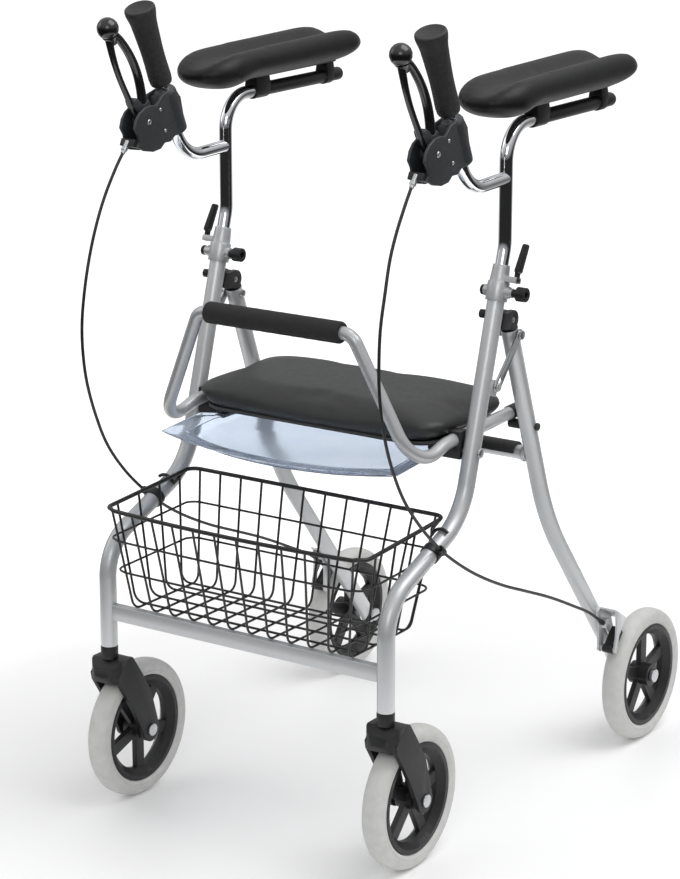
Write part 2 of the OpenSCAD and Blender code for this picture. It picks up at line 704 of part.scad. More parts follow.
front_leg_left();
front_leg_right();
front_crossbar();
clamp_collars();
clamp_knobs();
hinge_knuckles();
stay_tabs();
frame_bolts();
cable_clips();
caster_sockets();
rear_leg_left();
rear_leg_right();
rear_crossbar();
seat_rest_pads();
hinge_plugs();
brake_brackets();
rear_axles();
rest_buffers();
stay_bolts();
seat_hoop();
hoop_foam();
seat_pivot_blocks();
seat_board();
seat_cushion();
hoop_end_caps();
tray_runners();
tray();
basket();
stay_left();
stay_right();
rear_tyre_left();
rear_tyre_right();
rear_rim_left();
rear_rim_right();
front_tyre_left();
front_tyre_right();
front_rim_left();
front_rim_right();
caster_fork_left();
caster_fork_right();
caster_pins_left();
caster_pins_right();
arm_post_left();
arm_post_right();
hand_grip_left();
hand_grip_right();
brake_housing_left();
brake_housing_right();
arm_pad_left();
arm_pad_right();
pad_base_left();
pad_base_right();
brake_lever_left();
brake_lever_right();
clamp_lever_left();
clamp_lever_right();
brake_arm_left();
brake_arm_right();
brake_cable_left();
brake_cable_right();
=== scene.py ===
import json
import math

import bmesh
import bpy
import numpy as np
from mathutils import Matrix, Vector

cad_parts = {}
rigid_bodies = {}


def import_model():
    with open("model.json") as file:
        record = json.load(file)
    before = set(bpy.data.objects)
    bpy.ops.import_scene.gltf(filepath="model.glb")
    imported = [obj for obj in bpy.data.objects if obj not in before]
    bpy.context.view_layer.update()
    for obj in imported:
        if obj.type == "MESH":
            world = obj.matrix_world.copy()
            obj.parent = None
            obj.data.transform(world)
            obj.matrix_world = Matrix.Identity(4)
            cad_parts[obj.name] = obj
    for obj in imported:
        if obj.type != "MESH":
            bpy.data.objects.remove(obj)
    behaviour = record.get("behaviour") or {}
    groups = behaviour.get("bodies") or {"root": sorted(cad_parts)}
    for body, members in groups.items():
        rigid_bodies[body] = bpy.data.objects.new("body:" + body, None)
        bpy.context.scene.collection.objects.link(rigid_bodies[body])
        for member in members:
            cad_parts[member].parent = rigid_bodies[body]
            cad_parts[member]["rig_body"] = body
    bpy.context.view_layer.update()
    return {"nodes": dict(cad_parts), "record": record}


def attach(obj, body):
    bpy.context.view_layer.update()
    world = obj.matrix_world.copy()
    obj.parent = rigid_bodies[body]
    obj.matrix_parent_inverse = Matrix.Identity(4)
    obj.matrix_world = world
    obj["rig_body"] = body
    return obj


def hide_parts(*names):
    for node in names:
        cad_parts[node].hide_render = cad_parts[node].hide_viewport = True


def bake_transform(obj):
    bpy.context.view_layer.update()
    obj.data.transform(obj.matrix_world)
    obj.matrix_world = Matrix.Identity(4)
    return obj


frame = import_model()
nodes = frame["nodes"]
scene = bpy.context.scene
MM = 0.001
W = 231.0
SIDES = (("left", 1), ("right", -1))

# ------------------------------------------------------------------ camera
back = Vector((0.5379, -0.7990, 0.2688)).normalized()
cam_data = bpy.data.cameras.new("camera")
cam_data.lens = 2763.8 / 879 * 36
cam_data.sensor_width = 36
cam_data.clip_end = 100
camera = bpy.data.objects.new("camera", cam_data)
camera.location = Vector((0, -0.12139, 0.52078)) + back * 3.8631
camera.rotation_euler = (-back).to_track_quat("-Z", "Y").to_euler()
scene.collection.objects.link(camera)
scene.camera = camera
scene.view_settings.view_transform = "Standard"
scene.view_settings.look = "None"


# ------------------------------------------------------------------ shapes
class Form:
    """Mesh parts in millimetres, gathered into one object."""

    def __init__(self):
        self.v, self.f = [], []

    def add(self, verts, faces):
        base = len(self.v)
        self.v += [tuple(p) for p in verts]
        self.f += [tuple(base + i for i in f) for f in faces]
        return self

    def rings(self, rings, closed=True, cap0=True, cap1=True):
        """Joins rings of equally many points."""
        n = len(rings[0])
        faces = []
        for i in range(len(rings) - 1):
            for k in range(n if closed else n - 1):
                a, b = i * n + k, i * n + (k + 1) % n
                faces.append((a, b, b + n, a + n))
        if cap0:
            faces.append(tuple(range(n - 1, -1, -1)))
        if cap1:
            m = (len(rings) - 1) * n
            faces.append(tuple(m + k for k in range(n)))
        return self.add([p for r in rings for p in r], faces)

    def tube(self, path, radius, segs=28, cap=True, flat=1.0, side=None, wall=0.0):
        """A round bar along path. radius is one number or one per point; flat squeezes it across side; wall hollows it."""
        path = [Vector(p) for p in path]
        n = len(path)
        rad = radius if hasattr(radius, "__len__") else [radius] * n
        tang = [(path[min(i + 1, n - 1)] - path[max(i - 1, 0)]).normalized() for i in range(n)]
        u = Vector(side) if side else (Vector((1, 0, 0)) if abs(tang[0].x) < 0.9 else Vector((0, 1, 0)))
        outer, inner = [], []
        for i in range(n):
            u = (u - tang[i] * u.dot(tang[i])).normalized()
            w = tang[i].cross(u)
            for rings, r in ((outer, rad[i]), (inner, rad[i] - wall)):
                rings.append([
                    path[i] + (u * math.cos(2 * math.pi * k / segs) * flat + w * math.sin(2 * math.pi * k / segs)) * r
                    for k in range(segs)])
        if wall:
            return self.rings(outer + inner[::-1] + outer[:1], True, False, False)
        return self.rings(outer, True, cap, cap)

    def lathe(self, profile, origin, axis, segs=64, closed=False, ripple=None):
        """Turns (radius, height) pairs round an axis. ripple(angle, i) scales the radius."""
        o, w = Vector(origin), Vector(axis).normalized()
        u = Vector((1, 0, 0)) if abs(w.x) < 0.9 else Vector((0, 1, 0))
        u = (u - w * u.dot(w)).normalized()
        v = w.cross(u)
        rings = []
        for i, (r, h) in enumerate(profile):
            ring = []
            for k in range(segs):
                a = 2 * math.pi * k / segs
                q = r * (ripple(a, i) if ripple else 1)
                ring.append(o + w * h + (u * math.cos(a) + v * math.sin(a)) * q)
            rings.append(ring)
        if closed:
            return self.rings(rings + [rings[0]], True, False, False)
        return self.rings(rings, True, profile[0][0] > 1e-6, profile[-1][0] > 1e-6)

    def slab(self, outline, x0, x1):
        """Extrudes an outline in (y, z) along x."""
        rings = [[(x, y, z) for y, z in outline] for x in (x0, x1)]
        return self.rings(rings)

    def mirrored(self, k):
        if k > 0:
            return self
        g = Form()
        g.v = [(-x, y, z) for x, y, z in self.v]
        g.f = [tuple(reversed(f)) for f in self.f]
        return g

    def object(self, name, angle=38, bevel=0, segs=2, limit=32, levels=0):
        mesh = bpy.data.meshes.new(name)
        mesh.from_pydata([(x * MM, y * MM, z * MM) for x, y, z in self.v], [], self.f)
        bm = bmesh.new()
        bm.from_mesh(mesh)
        bmesh.ops.remove_doubles(bm, verts=bm.verts, dist=2e-6)
        bmesh.ops.recalc_face_normals(bm, faces=bm.faces)
        if bevel:
            round_edges(bm, bevel, segs, limit)
        bm.to_mesh(mesh)
        bm.free()
        obj = bpy.data.objects.new(name, mesh)
        scene.collection.objects.link(obj)
        smooth(mesh, angle)
        if levels:
            m = obj.modifiers.new("subdivision", "SUBSURF")
            m.levels = m.render_levels = levels
        return obj


def smooth(mesh, angle):
    mesh.polygons.foreach_set("use_smooth", [True] * len(mesh.polygons))
    mesh.set_sharp_from_angle(angle=math.radians(angle))
    mesh.update()


def round_edges(bm, bevel, segs, limit):
    edges = [
        e for e in bm.edges
        if len(e.link_faces) == 2 and e.calc_face_angle(0) > math.radians(limit)]
    if edges:
        bmesh.ops.bevel(bm, geom=edges, offset=bevel * MM, segments=segs, profile=0.5, affect="EDGES", clamp_overlap=True)


def fillet(pts, radii, step=4.0):
    """Points along a bent bar with a bend radius at each corner."""
    pts = [Vector(p) for p in pts]
    out = [pts[0]]
    for i in range(1, len(pts) - 1):
        a, b = (pts[i] - pts[i - 1]).normalized(), (pts[i + 1] - pts[i]).normalized()
        ang = a.angle(b)
        r = radii[i - 1] if hasattr(radii, "__len__") else radii
        p0 = pts[i] - a * r * math.tan(ang / 2)
        inward = a.cross(b).normalized().cross(a)
        c = p0 + inward * r
        k = max(3, int(math.degrees(ang) / step) + 1)
        for j in range(k + 1):
            t = ang * j / k
            out.append(c - inward * r * math.cos(t) + a * r * math.sin(t))
    out.append(pts[-1])
    return out


def spline(pts, n):
    """The same curve through the points as the cable's solid follows."""
    p = [Vector(q) for q in pts]
    m = len(p)
    out = []
    for i in range(m - 1):
        a, b, c, d = p[max(i - 1, 0)], p[i], p[i + 1], p[min(i + 2, m - 1)]
        for k in range(n):
            t = k / n
            out.append(0.5 * (2 * b + (c - a) * t + (2 * a - 5 * b + 4 * c - d) * t * t
                              + (3 * b - a - 3 * c + d) * t ** 3))
    out.append(p[-1])
    return out


def closed_spline(pts, n):
    p = [Vector(q) for q in pts]
    m = len(p)
    out = []
    for i in range(m):
        a, b, c, d = p[i - 1], p[i], p[(i + 1) % m], p[(i + 2) % m]
        for k in range(n):
            t = k / n
            out.append(0.5 * (2 * b + (c - a) * t + (2 * a - 5 * b + 4 * c - d) * t * t
                              + (3 * b - a - 3 * c + d) * t ** 3))
    return out


# ------------------------------------------------------------------ materials
def shader(name, colour, rough, metal=0.0, tint=None, tint_scale=40.0, grain=0.0, grain_scale=900.0, grain_kind="NOISE",
           wave=0.0, wave_scale=60.0, rough_var=0.08, rough_scale=120.0, worn=None, **sockets):
    """A surface with uneven colour, uneven gloss and a fine relief. Scales are per metre."""
    m = bpy.data.materials.new(name)
    m.use_nodes = True
    t = m.node_tree
    n, link = t.nodes, t.links.new
    b = n["Principled BSDF"]
    where = n.new("ShaderNodeTexCoord").outputs["Object"]

    def noise(scale, detail=5.0, roughness=0.55):
        q = n.new("ShaderNodeTexNoise")
        q.inputs["Scale"].default_value = scale
        q.inputs["Detail"].default_value = detail
        q.inputs["Roughness"].default_value = roughness
        link(where, q.inputs["Vector"])
        return q.outputs["Fac"]

    ramp = n.new("ShaderNodeValToRGB")
    e = ramp.color_ramp.elements
    e[0].position, e[1].position = 0.3, 0.7
    e[0].color = (*(tint or [c * 0.86 for c in colour]), 1)
    e[1].color = (*colour, 1)
    link(noise(tint_scale, 8.0), ramp.inputs["Fac"])
    base = ramp.outputs["Color"]
    if worn:
        edge = n.new("ShaderNodeNewGeometry").outputs["Pointiness"]
        sel = n.new("ShaderNodeMapRange")
        sel.inputs["From Min"].default_value, sel.inputs["From Max"].default_value = 0.53, 0.6
        link(edge, sel.inputs["Value"])
        mix = n.new("ShaderNodeMix")
        mix.data_type = "RGBA"
        link(sel.outputs["Result"], mix.inputs["Factor"])
        link(base, mix.inputs[6])
        mix.inputs[7].default_value = (*worn, 1)
        base = mix.outputs[2]
    link(base, b.inputs["Base Color"])
    gloss = n.new("ShaderNodeMapRange")
    gloss.inputs["To Min"].default_value = max(0.02, rough - rough_var)
    gloss.inputs["To Max"].default_value = min(1, rough + rough_var)
    link(noise(rough_scale), gloss.inputs["Value"])
    link(gloss.outputs["Result"], b.inputs["Roughness"])
    b.inputs["Metallic"].default_value = metal
    height = None
    if grain:
        if grain_kind == "VORONOI":
            q = n.new("ShaderNodeTexVoronoi")
            q.feature = "F1"
            q.inputs["Scale"].default_value = grain_scale
            link(where, q.inputs["Vector"])
            height = q.outputs["Distance"]
        else:
            height = noise(grain_scale, 4.0)
        bump = n.new("ShaderNodeBump")
        bump.inputs["Strength"].default_value = grain
        bump.inputs["Distance"].default_value = 0.0006
        link(height, bump.inputs["Height"])
        last = bump
        if wave:
            soft = n.new("ShaderNodeBump")
            soft.inputs["Strength"].default_value = wave
            soft.inputs["Distance"].default_value = 0.003
            link(noise(wave_scale, 3.0), soft.inputs["Height"])
            link(soft.outputs["Normal"], bump.inputs["Normal"])
        link(last.outputs["Normal"], b.inputs["Normal"])
    for key, value in sockets.items():
        b.inputs[key.replace("_", " ")].default_value = value
    return m


MAT = {
    "frame_paint": shader("silver_paint", (0.53, 0.54, 0.55), 0.36, 0.45, tint=(0.46, 0.47, 0.48), tint_scale=1800,
                          grain=0.05, grain_scale=2600, rough_var=0.05, rough_scale=300, worn=(0.66, 0.67, 0.68),
                          Coat_Weight=0.25, Coat_Roughness=0.25),
    "chrome": shader("chrome", (0.80, 0.81, 0.83), 0.07, 1.0, tint=(0.76, 0.77, 0.79), tint_scale=30, grain=0.01,
                     grain_scale=250, rough_var=0.03, rough_scale=90),
    "steel": shader("zinc_steel", (0.62, 0.63, 0.64), 0.32, 1.0, tint=(0.50, 0.51, 0.52), tint_scale=300, grain=0.06,
                    grain_scale=1500, rough_var=0.1),
    "black_plastic": shader("black_plastic", (0.014, 0.0145, 0.015), 0.44, 0.0, tint=(0.009, 0.009, 0.010),
                            tint_scale=120, grain=0.12, grain_scale=1600, rough_var=0.1, worn=(0.032, 0.032, 0.034),
                            Specular_IOR_Level=0.36),
    "gloss_black": shader("lever_plastic", (0.012, 0.012, 0.013), 0.2, 0.0, tint=(0.008, 0.008, 0.009), tint_scale=90,
                          grain=0.03, grain_scale=700, rough_var=0.08, Coat_Weight=0.4, Coat_Roughness=0.12),
    "housing_grey": shader("housing_plastic", (0.034, 0.037, 0.041), 0.5, 0.0, tint=(0.024, 0.026, 0.029),
                           tint_scale=150, grain=0.2, grain_scale=1900, rough_var=0.1, worn=(0.07, 0.073, 0.078)),
    "grip_rubber": shader("grip_rubber", (0.030, 0.031, 0.030), 0.62, 0.0, tint=(0.018, 0.018, 0.018), tint_scale=200,
                          grain=0.5, grain_scale=1100, grain_kind="VORONOI", rough_var=0.1),
    "vinyl": shader("vinyl", (0.031, 0.033, 0.031), 0.44, 0.0, tint=(0.024, 0.026, 0.025), tint_scale=45,
                    grain=0.22, grain_scale=1250, grain_kind="VORONOI", wave=0.10, wave_scale=28, rough_var=0.09,
                    rough_scale=160),
    "foam": shader("foam", (0.024, 0.024, 0.023), 0.82, 0.0, tint=(0.014, 0.014, 0.014), tint_scale=900,
                   grain=0.7, grain_scale=1700, grain_kind="VORONOI", rough_var=0.08),
    "tray_plastic": shader("tray_plastic", (0.76, 0.84, 0.96), 0.1, 0.0, tint=(0.70, 0.80, 0.95), tint_scale=25,
                           grain=0.03, grain_scale=500, rough_var=0.05, Transmission_Weight=0.88, IOR=1.32),
    "basket_wire": shader("coated_wire", (0.012, 0.012, 0.012), 0.34, 0.0, tint=(0.008, 0.008, 0.008), tint_scale=160,
                          grain=0.12, grain_scale=900, rough_var=0.1),
    "tyre": shader("grey_rubber", (0.58, 0.58, 0.565), 0.6, 0.0, tint=(0.51, 0.51, 0.495), tint_scale=70, grain=0.16,
                   grain_scale=1400, rough_var=0.1, worn=(0.64, 0.64, 0.625)),
    "rim_plastic": shader("rim_plastic", (0.013, 0.013, 0.014), 0.4, 0.0, tint=(0.008, 0.008, 0.009), tint_scale=140,
                          grain=0.1, grain_scale=1300, rough_var=0.1, worn=(0.03, 0.03, 0.032), Specular_IOR_Level=0.36),
    "cable_sheath": shader("cable_sheath", (0.016, 0.016, 0.016), 0.42, 0.0, tint=(0.010, 0.010, 0.010),
                           tint_scale=200, grain=0.2, grain_scale=1500, rough_var=0.1),
}


pad_vinyl = shader("pad_vinyl", (0.012, 0.0125, 0.012), 0.40, 0.0, tint=(0.008, 0.0085, 0.008), tint_scale=45,
                   grain=0.20, grain_scale=1250, grain_kind="VORONOI", wave=0.10, wave_scale=28, rough_var=0.08,
                   rough_scale=160, Specular_IOR_Level=0.26)


def dress(obj, slot, body=None, stands_for=()):
    """Gives a piece its material, its body and the nodes it stands for."""
    obj.data.materials.clear()
    obj.data.materials.append(MAT[slot])
    if body:
        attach(obj, body)
    if stands_for:
        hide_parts(*([stands_for] if isinstance(stands_for, str) else stands_for))
    return obj


# ------------------------------------------------------------------ cables
ROUTE = [
    (231, -304, 928), (232, -319, 909), (233, -340, 878), (234, -357, 845), (236, -371, 805), (237, -383, 760),
    (239, -389, 712), (240, -388, 670), (241, -380, 625), (242, -362, 575), (244, -335, 525), (246, -295, 478),
    (247, -248, 436), (249, -200, 402), (250, -150, 373), (250, -90, 344), (250, -32, 320), (250, 40, 290),
    (250, 112, 256), (249, 160, 232), (249, 203, 203.5)]
for side, k in SIDES:
    line = [Vector((p.x * k, p.y, p.z)) for p in spline(ROUTE, 6)]
    clip = 12 * 6
    for name, part, body, a, b in (
            ("upper", line[:clip + 1], "arm_" + side, line[clip - 6], line[6]),
            ("lower", line[clip:], "rear_frame", line[clip + 6], line[-6])):
        cable = Form().tube(part, 2.2, 14).object(f"brake_cable_{side}_{name}")
        dress(cable, "cable_sheath")
        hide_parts("brake_cable_" + side)
        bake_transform(cable)
    # Ferrule on the cable's lower end
    g = Form()
    g.lathe([(2.35, -0.4), (3.4, -0.2), (3.7, 0.8), (3.7, 9), (3.2, 10.5), (3.2, 14), (2.35, 14.6)],
            line[-1] - Vector((0, 0, 0)), line[-4] - line[-1], 24, closed=True)
    dress(g.object("cable_ferrule_" + side, 35), "black_plastic", "rear_frame")

# ------------------------------------------------------------------ tubes
LEAN = 73 / 249


def leg_y(z):
    return -86 + (z - 757) * LEAN


def back_y(z):
    return -54.7 + (700 - z) * 0.371


for side, k in SIDES:
    x = W * k
    path = fillet([(x, leg_y(765), 765), (x, -173, 459.6), (x, -357, 386), (x, -357, 241)], [95, 70], 3)
    dress(Form().tube(path, 12, 48, wall=1.2).object("front_leg_tube_" + side, 40), "frame_paint", "front_frame",
          "front_leg_" + side)
    path = fillet([(x, back_y(698), 698), (x, back_y(399.3), 399.3), (x, 305.5, 90)], [400], 1.5)
    dress(Form().tube(path, 12, 48, wall=1.2).object("rear_leg_tube_" + side, 40), "frame_paint", "rear_frame",
          "rear_leg_" + side)
    # Chromed upright with the hand tube welded to it, and a plug in its rear end
    g = Form()
    g.tube(fillet([(x, leg_y(565), 565), (x, -69, 815), (x, -69, 976), (x, 215, 976)], [60, 48], 3), 9.25, 56, wall=1.5)
    g.tube(fillet([(x, -71, 906), (x, -168, 903), (x, -256.4, 1108)], [60], 3), 8.9, 56)
    dress(g.object("arm_tube_" + side, 40), "chrome", "arm_" + side, "arm_post_" + side)
    g = Form()
    g.lathe([(0, 3.6), (4, 3.5), (7.4, 2.8), (9.2, 1.4), (9.6, 0.1), (7.6, 0.1), (7.5, -9), (7.2, -10), (0, -10)],
            (x, 215, 976), (0, 1, 0), 40)
    # Black sleeve on the tube under the pad
    g.lathe([(9.26, 27.2), (9.6, 27.2), (9.8, 28.4), (9.8, 171), (9.6, 172.4), (9.26, 172.4)], (x, 0, 976), (0, 1, 0), 40,
            closed=True)
    g.lathe([(9.26, 191.4), (9.6, 191.4), (9.8, 192.4), (9.8, 214), (9.6, 215), (9.26, 215)], (x, 0, 976), (0, 1, 0), 40,
            closed=True)
    dress(g.object("arm_plug_" + side, 40), "black_plastic", "arm_" + side)

path = fillet([(208, 10, 566.6), (208, -180, 560.2), (210, -256, 539), (125, -279, 719.5), (-125, -279, 719.5),
               (-210, -256, 539), (-208, -180, 560.2), (-208, 10, 566.6)], [100, 48, 22, 22, 48, 100], 4)
dress(Form().tube(path, 9, 44, wall=1.5).object("hoop_tube", 40), "frame_paint", "seat_frame", "seat_hoop")
g = Form()
g.tube([(-222, back_y(503), 503), (222, back_y(503), 503)], 10, 44, wall=1.2)
for s in (-1, 1):  # weld beads
    g.lathe([(9.9, 0), (11.8, 0.6), (12.6, 2.4), (12.2, 4.6), (9.9, 5.2)], (s * 214.6, back_y(503), 503), (s, 0, 0), 40,
            closed=True)
dress(g.object("rear_crossbar_tube", 40), "frame_paint", "rear_frame", "rear_crossbar")


# ------------------------------------------------------------------ refined CAD nodes
def refine(node, slot, bevel=0.8, segs=2, limit=35):
    """A copy of a node's mesh with its edges rounded, standing for the node."""
    src = nodes[node]
    bm = bmesh.new()
    bm.from_mesh(src.data)
    bmesh.ops.remove_doubles(bm, verts=bm.verts, dist=2e-6)
    bmesh.ops.dissolve_limit(bm, angle_limit=math.radians(0.6), verts=bm.verts, edges=bm.edges)
    bmesh.ops.recalc_face_normals(bm, faces=bm.faces)
    round_edges(bm, bevel, segs, limit)
    mesh = bpy.data.meshes.new(node + "_fine")
    bm.to_mesh(mesh)
    bm.free()
    obj = bpy.data.objects.new(node + "_fine", mesh)
    scene.collection.objects.link(obj)
    smooth(mesh, 30)
    return dress(obj, slot, src["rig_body"], node)


record = frame["record"]
slot_of = {s["node"]: s["material_slot"] for s in record["subparts"]}
for name, obj in nodes.items():
    obj.data.materials.clear()
    obj.data.materials.append(MAT[slot_of[name]])

# ------------------------------------------------------------------ soft goods
def pebble(outline, top, bottom, mid, rings=18, edge_top=7.0, edge_bottom=9.0, centre=(0, 0)):
    """A closed cushion over an outline in (x, y): top(x, y) and bottom(x, y) meet at height mid(x, y)."""
    n = len(outline)
    cx, cy = centre
    g = Form()

    def ring(q, up):
        out = []
        for x, y in outline:
            px, py = cx + (x - cx) * q, cy + (y - cy) * q
            m = mid(px, py)
            if up:
                out.append((px, py, m + (top(px, py) - m) * (1 - q ** edge_top) ** 0.5))
            else:
                out.append((px, py, m - (m - bottom(px, py)) * (1 - q ** edge_bottom) ** 0.5))
        return out

    qs = [math.sin(math.pi / 2 * (j / rings) ** 0.8) for j in range(1, rings + 1)]
    rows = [ring(q, True) for q in qs] + [ring(q, False) for q in reversed(qs[:-1])]
    g.rings(rows, True, False, False)
    base, last = 0, (len(rows) - 1) * n
    g.v += [(cx, cy, top(cx, cy)), (cx, cy, bottom(cx, cy))]
    t, b = len(g.v) - 2, len(g.v) - 1
    for k in range(n):
        g.f.append((t, (k + 1) % n, k))
        g.f.append((b, last + k, last + (k + 1) % n))
    return g


def inflate(obj, voxel, pressure, cap, pinned=None, frames=20):
    """Remeshes a cushion, swells it as cloth and keeps the result, with no point moved further than cap (mm)."""
    m = obj.modifiers.new("remesh", "REMESH")
    m.mode, m.voxel_size = "VOXEL", voxel * MM
    dg = bpy.context.evaluated_depsgraph_get()
    mesh = bpy.data.meshes.new_from_object(obj.evaluated_get(dg))
    obj.modifiers.clear()
    obj.data = mesh
    start = np.array([v.co for v in mesh.vertices], float).reshape(-1, 3)
    if pinned:
        group = obj.vertex_groups.new(name="pin")
        for i, p in enumerate(start):
            w = pinned(*(p / MM))
            if w > 0:
                group.add([i], w, "REPLACE")
    c = obj.modifiers.new("cloth", "CLOTH")
    s = c.settings
    s.quality = 6
    s.mass = 0.25
    s.tension_stiffness = s.compression_stiffness = 30
    s.shear_stiffness = 20
    s.bending_stiffness = 8
    s.use_pressure = True
    s.uniform_pressure_force = pressure
    s.effector_weights.gravity = 0
    if pinned:
        s.vertex_group_mass = "pin"
    c.collision_settings.use_collision = False
    c.point_cache.frame_start, c.point_cache.frame_end = 1, frames
    for f in range(1, frames + 1):
        scene.frame_set(f)
    dg = bpy.context.evaluated_depsgraph_get()
    swollen = bpy.data.meshes.new_from_object(obj.evaluated_get(dg))
    moved = np.array([v.co for v in swollen.vertices], float).reshape(-1, 3)
    obj.modifiers.clear()
    obj.vertex_groups.clear()
    scene.frame_set(1)
    d = moved - start
    size = np.linalg.norm(d, axis=1)
    k = np.where(size > cap * MM, cap * MM / np.maximum(size, 1e-9), 1.0)
    end = start + d * k[:, None]
    mesh.vertices.foreach_set("co", end.astype(np.float32).ravel())
    bm = bmesh.new()
    bm.from_mesh(mesh)
    for _ in range(4):
        bmesh.ops.smooth_vert(bm, verts=bm.verts, factor=0.5, use_axis_x=True, use_axis_y=True, use_axis_z=True)
    bm.to_mesh(mesh)
    bm.free()
    mesh.update()
    smooth(mesh, 60)
    return obj


def rounded_box(hx, y0, y1, r, n=10, bow=0.0):
    """Outline of a rectangle with round corners; bow pushes the long sides out in the middle."""
    out = []
    for cx, cy, a0 in ((hx - r, y1 - r, 0), (-hx + r, y1 - r, 90), (-hx + r, y0 + r, 180), (hx - r, y0 + r, 270)):
        for j in range(n + 1):
            a = math.radians(a0 + 90 * j / n)
            out.append((cx + r * math.cos(a), cy + r * math.sin(a)))
    dense = []
    for i, p in enumerate(out):
        q = out[(i + 1) % len(out)]
        d = math.dist(p, q)
        m = max(1, int(d / 9))
        for j in range(m):
            x, y = p[0] + (q[0] - p[0]) * j / m, p[1] + (q[1] - p[1]) * j / m
            dense.append((x, y + bow * (1 - (x / hx) ** 2) * (1 if y > (y0 + y1) / 2 else -1)))
    return dense


# Seat cushion: crowned pad with a rolled front edge and a welt above the board
seat_outline = rounded_box(204, -198, 1, 36, 10, 1.5)
seat = pebble(
    seat_outline,
    lambda x, y: 600.5 - 3 * (x / 205) ** 2 - 2 * ((y + 98) / 100) ** 4 + 2.5 * (y + 98) / 100,
    lambda x, y: 558.0,
    lambda x, y: 578, 20, 11.0, 24.0, (0, -98))
# The lower part is narrower, to lie between the hoop's tubes
seat.v = [(x * (1 - 0.042 * min(1.0, max(0.0, (578 - z) / 11))), y, z) for x, y, z in seat.v]
seat = seat.object("seat_pad", 60)
inflate(seat, 5, 4.0, 4, lambda x, y, z: 1.0 if z < 560 else 0.0)
m = seat.modifiers.new("subdivision", "SUBSURF")
m.levels = m.render_levels = 1
dress(seat, "vinyl", "seat_frame", "seat_cushion")
welt = [(x * 0.93, -98 + (y + 98) * 0.94, 558.6) for x, y in seat_outline]
g = Form()
g.tube(welt + welt[:1], 2.0, 10, False)
dress(g.object("seat_welt", 60), "vinyl", "seat_frame")
# Board under the cushion, with round corners and four screws
edge = rounded_box(188, -189, -9, 32)
g = Form()
g.rings([[(x, y, z) for x, y in edge] for z in (553.4, 559.4)])
board = g.object("seat_board_panel", 35, 1.0, 3, 40)
dress(board, "black_plastic", "seat_frame", "seat_board")
g = Form()
for sx in (-150, 150):
    for y in (-170, -30):
        g.lathe([(0, -1.8), (2.2, -1.8), (2.4, -0.9), (4.2, -1.6), (5.0, -0.6), (5.0, 0.4), (0, 0.4)], (sx, y, 553.4), (0, 0, 1), 20)
dress(g.object("seat_board_screws", 35), "steel", "seat_frame")


# Forearm pads: broad nose, a trough for the arm, thinner towards the rear
def pad_outline():
    out = []
    for cx, cy, r, a0, a1 in ((0, -98, 51, 180, 360), (26, 198, 24, 0, 90), (-26, 198, 24, 90, 180)):
        for j in range(25):
            a = math.radians(a0 + (a1 - a0) * j / 24)
            out.append((cx + r * math.cos(a), cy + r * math.sin(a)))
    return out


def even(outline, n):
    """The same closed outline with evenly spaced points."""
    p = [Vector((x, y, 0)) for x, y in outline]
    p.append(p[0])
    s = [0.0]
    for a, b in zip(p, p[1:]):
        s.append(s[-1] + (b - a).length)
    out, j = [], 0
    for k in range(n):
        t = s[-1] * k / n
        while s[j + 1] < t:
            j += 1
        f = (t - s[j]) / max(1e-9, s[j + 1] - s[j])
        q = p[j].lerp(p[j + 1], f)
        out.append((q.x, q.y))
    return out


def pad_top(x, y):
    f = (y + 98) / 320
    crest = 1043 + 8 * f - 6 * max(0.0, (-98 - y) / 50) ** 2
    valley = 1028 + 2 * f
    u = min(1.0, abs(x) / 36)
    return valley + (crest - valley) * (0.5 - 0.5 * math.cos(math.pi * u)) - max(0, abs(x) - 36) * 0.2


def pad_bottom(x, y):
    nose = min(1.0, max(0.0, (-50 - y) / 55))
    return 998 - 9 * nose * nose * (3 - 2 * nose) + 2 * max(0.0, (y - 20) / 190) + (14 - 7 * nose) * (abs(x) / 52) ** 3


def pad_mid(x, y):
    nose = min(1.0, max(0.0, (-40 - y) / 70))
    return 1022 - 7 * nose + 3 * max(0, (y + 98) / 320)


pad_form = pebble(even(pad_outline(), 84), pad_top, pad_bottom, pad_mid, 18, 8.0, 7.0, (0, 40))
pads = {}
for side, k in SIDES:
    if side == "left":
        pad = pad_form.object("forearm_pad_left", 60)
        inflate(pad, 4.5, 3.0, 2.0, lambda x, y, z: 0.6)
        pads["mesh"] = pad.data.copy()
    else:
        mesh = pads["mesh"]
        mesh.transform(Matrix.Scale(-1, 4, (1, 0, 0)))
        mesh.flip_normals()
        pad = bpy.data.objects.new("forearm_pad_right", mesh)
        scene.collection.objects.link(pad)
    pad.data.transform(Matrix.Translation((W * k * MM, 0, 0)))
    m = pad.modifiers.new("subdivision", "SUBSURF")
    m.levels = m.render_levels = 1
    dress(pad, "vinyl", "arm_" + side, "arm_pad_" + side)
    pad.data.materials[0] = pad_vinyl

# Foam sleeve on the hoop's top bar
prof = [(9.2, 0.6), (11.5, 0), (13.8, 0.8), (14.9, 3), (15, 6)]
prof += [(15 + 0.10 * math.sin(i * 1.7), 6 + i * 6) for i in range(1, 34)]
prof += [(15, 214), (14.9, 217), (13.8, 219.2), (11.5, 220), (9.2, 219.4)]
g = Form()
g.lathe(prof, (-110, -279, 719.5), (1, 0, 0), 48)
dress(g.object("foam_sleeve", 50), "foam", "seat_frame", "hoop_foam")

# ------------------------------------------------------------------ hand grips and brakes
GRIP_AXIS = Vector((0, -0.431, 1)).normalized()


def grip_at(z):
    return Vector((0, -215 - 0.431 * (z - 1012), z))


